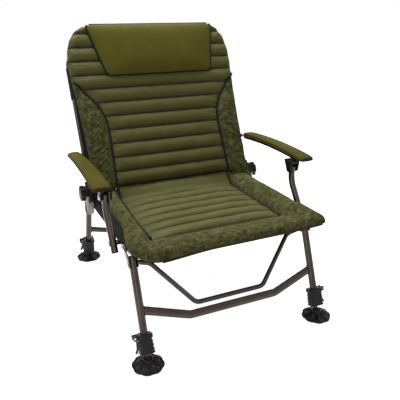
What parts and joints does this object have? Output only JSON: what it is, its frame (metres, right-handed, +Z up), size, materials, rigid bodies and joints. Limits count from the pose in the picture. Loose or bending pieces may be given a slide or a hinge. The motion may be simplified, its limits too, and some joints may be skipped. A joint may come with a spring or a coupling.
{
  "type": "carp fishing chair",
  "caption": "Low folding tube-frame angling armchair with a channelled padded mattress, reclining back, linked arms and levelling legs on tilting mud feet.",
  "frame": {"origin": "middle of the footprint, on the ground under the feet", "axes": "+X to the left of someone sitting in the chair, -Y towards the front, +Z up"},
  "size_m": [0.7542, 0.8376, 0.9083],
  "materials": {
    "frame_paint": "glossy graphite powder coat",
    "steel": "plated",
    "zinc": "dull warm zinc",
    "black_plastic": "fine grained",
    "sling_cloth": "tight polyester weave",
    "mattress_cloth": "satin olive panels with a mottled dark green velour border",
    "pillow_cloth": "flat olive microfibre"
  },
  "bodies": {
    "seat": {"seat_frame": "frame_paint", "seat_rear_crossbar": "frame_paint", "seat_sling": "sling_cloth", "seat_mattress": "mattress_cloth", "hinge_bracket_left": "zinc", "hinge_bracket_right": "zinc", "recline_bolt_left": "steel", "recline_bolt_right": "steel", "front_pivot_bolt_left": "steel", "front_pivot_bolt_right": "steel", "rear_pivot_bolt_left": "steel", "rear_pivot_bolt_right": "steel", "post_bolt_left": "steel", "post_bolt_right": "steel"},
    "knob_left": {"recline_knob_left": "black_plastic"},
    "knob_right": {"recline_knob_right": "black_plastic"},
    "back": {"back_frame": "frame_paint", "back_sling": "sling_cloth", "back_mattress": "mattress_cloth", "head_pillow": "pillow_cloth", "back_hinge_left": "black_plastic", "back_hinge_right": "black_plastic", "arm_stud_left": "steel", "arm_stud_right": "steel"},
    "post_left": {"arm_post_left": "frame_paint"},
    "post_right": {"arm_post_right": "frame_paint"},
    "arm_left": {"arm_bracket_left": "black_plastic", "arm_rail_left": "black_plastic", "arm_pad_left": "pillow_cloth"},
    "arm_right": {"arm_bracket_right": "black_plastic", "arm_rail_right": "black_plastic", "arm_pad_right": "pillow_cloth"},
    "front_legs": {"leg_front_left": "frame_paint", "leg_front_right": "frame_paint", "front_leg_crossbar": "frame_paint", "front_leg_brace": "frame_paint", "leg_collar_front_left": "black_plastic", "leg_collar_front_right": "black_plastic"},
    "rear_legs": {"leg_rear_left": "frame_paint", "leg_rear_right": "frame_paint", "rear_leg_crossbar": "frame_paint", "leg_collar_rear_left": "black_plastic", "leg_collar_rear_right": "black_plastic"},
    "inner_front_left": {"inner_leg_front_left": "steel"},
    "inner_front_right": {"inner_leg_front_right": "steel"},
    "inner_rear_left": {"inner_leg_rear_left": "steel"},
    "inner_rear_right": {"inner_leg_rear_right": "steel"},
    "lever_front_left": {"clamp_lever_front_left": "black_plastic"},
    "lever_front_right": {"clamp_lever_front_right": "black_plastic"},
    "lever_rear_left": {"clamp_lever_rear_left": "black_plastic"},
    "lever_rear_right": {"clamp_lever_rear_right": "black_plastic"},
    "ball_front_left": {"foot_ball_front_left": "black_plastic"},
    "ball_front_right": {"foot_ball_front_right": "black_plastic"},
    "ball_rear_left": {"foot_ball_rear_left": "black_plastic"},
    "ball_rear_right": {"foot_ball_rear_right": "black_plastic"},
    "foot_front_left": {"mud_foot_front_left": "black_plastic"},
    "foot_front_right": {"mud_foot_front_right": "black_plastic"},
    "foot_rear_left": {"mud_foot_rear_left": "black_plastic"},
    "foot_rear_right": {"mud_foot_rear_right": "black_plastic"}
  },
  "joints": [
    {"name": "back_recline", "type": "hinge", "parent": "seat", "child": "back", "pos_m": [0, 0.15689, 0.36], "axis": [-1, 0, 0], "range_deg": [-104, 20], "deforming": ["seat_mattress", "back_mattress"]},
    {"name": "post_swing_left", "type": "hinge", "parent": "seat", "child": "post_left", "pos_m": [-0.33, -0.18914, 0.31932], "axis": [-1, 0, 0], "range_deg": [-104, 20]},
    {"name": "post_swing_right", "type": "hinge", "parent": "seat", "child": "post_right", "pos_m": [0.33, -0.18914, 0.31932], "axis": [-1, 0, 0], "range_deg": [-104, 20]},
    {"name": "arm_swing_left", "type": "hinge", "parent": "post_left", "child": "arm_left", "pos_m": [-0.33, -0.13314, 0.44632], "axis": [-1, 0, 0], "range_deg": [-20, 104]},
    {"name": "arm_swing_right", "type": "hinge", "parent": "post_right", "child": "arm_right", "pos_m": [0.33, -0.13314, 0.44632], "axis": [-1, 0, 0], "range_deg": [-20, 104]},
    {"name": "front_legs_fold", "type": "hinge", "parent": "seat", "child": "front_legs", "pos_m": [0, -0.22713, 0.32019], "axis": [-1, 0, 0], "range_deg": [-100, 0]},
    {"name": "rear_legs_fold", "type": "hinge", "parent": "seat", "child": "rear_legs", "pos_m": [0, 0.23075, 0.30979], "axis": [1, 0, 0], "range_deg": [-66, 0]},
    {"name": "knob_turn_left", "type": "hinge", "parent": "seat", "child": "knob_left", "pos_m": [-0.342, 0.15689, 0.36], "axis": [-1, 0, 0], "range_deg": [0, 180]},
    {"name": "knob_turn_right", "type": "hinge", "parent": "seat", "child": "knob_right", "pos_m": [0.342, 0.15689, 0.36], "axis": [1, 0, 0], "range_deg": [0, 180]},
    {"name": "leg_slide_front_left", "type": "slide", "parent": "front_legs", "child": "inner_front_left", "axis": [0, -0.3584, -0.9336], "range_m": [0, 0.1]},
    {"name": "leg_slide_front_right", "type": "slide", "parent": "front_legs", "child": "inner_front_right", "axis": [0, -0.3584, -0.9336], "range_m": [0, 0.1]},
    {"name": "leg_slide_rear_left", "type": "slide", "parent": "rear_legs", "child": "inner_rear_left", "axis": [0, 0.3584, -0.9336], "range_m": [0, 0.1]},
    {"name": "leg_slide_rear_right", "type": "slide", "parent": "rear_legs", "child": "inner_rear_right", "axis": [0, 0.3584, -0.9336], "range_m": [0, 0.1]},
    {"name": "lever_turn_front_left", "type": "hinge", "parent": "front_legs", "child": "lever_front_left", "pos_m": [-0.3282, -0.3464, 0.08761], "axis": [0, 0.9336, -0.3584], "range_deg": [0, 110]},
    {"name": "lever_turn_front_right", "type": "hinge", "parent": "front_legs", "child": "lever_front_right", "pos_m": [0.3282, -0.3464, 0.08761], "axis": [0, -0.9336, 0.3584], "range_deg": [0, 110]},
    {"name": "lever_turn_rear_left", "type": "hinge", "parent": "rear_legs", "child": "lever_rear_left", "pos_m": [-0.3282, 0.34603, 0.08761], "axis": [0, 0.9336, 0.3584], "range_deg": [0, 110]},
    {"name": "lever_turn_rear_right", "type": "hinge", "parent": "rear_legs", "child": "lever_rear_right", "pos_m": [0.3282, 0.34603, 0.08761], "axis": [0, -0.9336, -0.3584], "range_deg": [0, 110]},
    {"name": "ball_pitch_front_left", "type": "hinge", "parent": "inner_front_left", "child": "ball_front_left", "pos_m": [-0.297, -0.37082, 0.024], "axis": [1, 0, 0], "range_deg": [-15, 15]},
    {"name": "ball_pitch_front_right", "type": "hinge", "parent": "inner_front_right", "child": "ball_front_right", "pos_m": [0.297, -0.37082, 0.024], "axis": [1, 0, 0], "range_deg": [-15, 15]},
    {"name": "ball_pitch_rear_left", "type": "hinge", "parent": "inner_rear_left", "child": "ball_rear_left", "pos_m": [-0.297, 0.37045, 0.024], "axis": [1, 0, 0], "range_deg": [-15, 15]},
    {"name": "ball_pitch_rear_right", "type": "hinge", "parent": "inner_rear_right", "child": "ball_rear_right", "pos_m": [0.297, 0.37045, 0.024], "axis": [1, 0, 0], "range_deg": [-15, 15]},
    {"name": "foot_roll_front_left", "type": "hinge", "parent": "ball_front_left", "child": "foot_front_left", "pos_m": [-0.297, -0.37082, 0.024], "axis": [0, 1, 0], "range_deg": [-15, 15]},
    {"name": "foot_roll_front_right", "type": "hinge", "parent": "ball_front_right", "child": "foot_front_right", "pos_m": [0.297, -0.37082, 0.024], "axis": [0, 1, 0], "range_deg": [-15, 15]},
    {"name": "foot_roll_rear_left", "type": "hinge", "parent": "ball_rear_left", "child": "foot_rear_left", "pos_m": [-0.297, 0.37045, 0.024], "axis": [0, 1, 0], "range_deg": [-15, 15]},
    {"name": "foot_roll_rear_right", "type": "hinge", "parent": "ball_rear_right", "child": "foot_rear_right", "pos_m": [0.297, 0.37045, 0.024], "axis": [0, 1, 0], "range_deg": [-15, 15]}
  ],
  "couplings": [
    {"joint": "post_swing_left", "follows": "back_recline", "ratio": 1},
    {"joint": "post_swing_right", "follows": "back_recline", "ratio": 1},
    {"joint": "arm_swing_left", "follows": "back_recline", "ratio": -1},
    {"joint": "arm_swing_right", "follows": "back_recline", "ratio": -1}
  ]
}
